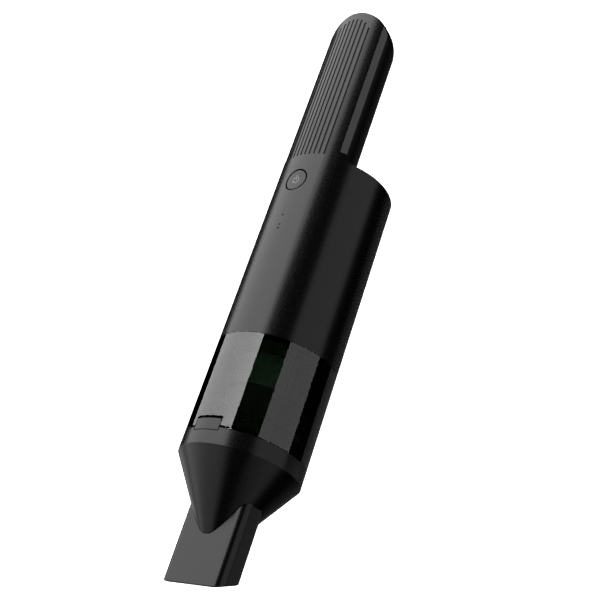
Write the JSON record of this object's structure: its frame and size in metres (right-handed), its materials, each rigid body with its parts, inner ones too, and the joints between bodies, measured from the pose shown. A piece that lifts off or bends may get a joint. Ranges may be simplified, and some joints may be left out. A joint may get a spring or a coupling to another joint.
{
  "type": "handheld vacuum",
  "caption": "Slim cordless handheld vacuum: round black body, clear smoke dust bin, conical nose with flat crevice nozzle, ribbed grip and power button.",
  "frame": {"origin": "on the long axis of the round body, at the middle of the hand grip, where a hand holds it", "axes": "+Y along the body from the nozzle to the end of the handle, +Z towards the side with the power button (the tool lies on its back), +X to the right when looking along +Y"},
  "size_m": [0.066, 0.3453, 0.066],
  "materials": {
    "shell_black": "satin moulded black plastic",
    "cover_black": "fine-textured black plastic",
    "trim_black": "polished black plastic",
    "clear_smoke": "smoke-tinted clear plastic, glossy",
    "nose_black": "satin moulded black plastic",
    "button_black": "satin moulded black plastic",
    "icon_grey": "printed grey mark",
    "light_pipe": "dark translucent plastic",
    "steel": "brushed steel",
    "screw_steel": "plated steel",
    "board_green": "solder-masked board",
    "switch_black": "black plastic and metal",
    "cell_wrap": "heat-shrink sleeve",
    "nickel": "nickel strip",
    "inner_black": "black moulded plastic",
    "inner_grey": "grey moulded plastic",
    "foam_black": "open-cell foam",
    "filter_paper": "pleated filter paper",
    "mesh_steel": "woven steel mesh",
    "seal_rubber": "soft rubber",
    "flap_green": "soft green-tinted rubber"
  },
  "bodies": {
    "housing": {"main_shell": "shell_black", "handle_trim": "trim_black", "handle_cover": "cover_black", "handle_screws": "screw_steel", "status_lights": "light_pipe", "control_board": "board_green", "tact_switch": "switch_black", "battery_cell_left": "cell_wrap", "battery_cell_right": "cell_wrap", "battery_cradle": "inner_black", "battery_link": "nickel", "exhaust_cap": "cover_black", "exhaust_foam": "foam_black", "charging_port": "steel", "intake_plate": "inner_grey", "body_seal": "seal_rubber", "fan_shroud": "inner_grey", "diffuser_plate": "inner_grey", "motor_can": "steel", "motor_screws": "screw_steel", "motor_mount_front": "seal_rubber", "motor_mount_rear": "seal_rubber", "motor_cradle": "inner_grey"},
    "button": {"power_button": "button_black", "button_icon": "icon_grey"},
    "rotor": {"motor_shaft": "steel", "impeller": "inner_black"},
    "filter": {"filter_frame": "inner_grey", "pleated_filter": "filter_paper", "prefilter_mesh": "mesh_steel", "filter_seal": "seal_rubber"},
    "bin": {"dust_bin": "clear_smoke"},
    "nose": {"nose_cone": "nose_black", "inlet_duct": "inner_black", "flap_pin": "steel", "nose_seal": "seal_rubber"},
    "latch": {"latch_tab": "nose_black"},
    "flap": {"inlet_flap": "flap_green"},
    "nozzle": {"crevice_nozzle": "nose_black"}
  },
  "joints": [
    {"name": "button_press", "type": "slide", "parent": "housing", "child": "button", "axis": [0, 0, -1], "range_m": [0, 0.0007], "stiffness_N_per_m": 900, "springref_m": -0.001},
    {"name": "rotor_spin", "type": "hinge", "parent": "housing", "child": "rotor", "pos_m": [0, -0.145, 0], "axis": [0, 1, 0], "continuous": true},
    {"name": "filter_pull", "type": "slide", "parent": "housing", "child": "filter", "axis": [0, -1, 0], "range_m": [0, 0.008]},
    {"name": "bin_pull", "type": "slide", "parent": "housing", "child": "bin", "axis": [0, -1, 0], "range_m": [0, 0.045]},
    {"name": "nose_pull", "type": "slide", "parent": "bin", "child": "nose", "axis": [0, -1, 0], "range_m": [0, 0.03]},
    {"name": "latch_press", "type": "hinge", "parent": "nose", "child": "latch", "pos_m": [0, -0.2207, 0.0313], "axis": [-1, 0, 0], "range_deg": [0, 6], "stiffness_Nm_per_rad": 0.3, "springref_deg": -2.86},
    {"name": "flap_swing", "type": "hinge", "parent": "nose", "child": "flap", "pos_m": [0, -0.2136, 0.0136], "axis": [1, 0, 0], "range_deg": [0, 60]},
    {"name": "nozzle_pull", "type": "slide", "parent": "nose", "child": "nozzle", "axis": [0, -1, 0], "range_m": [0, 0.03]}
  ]
}
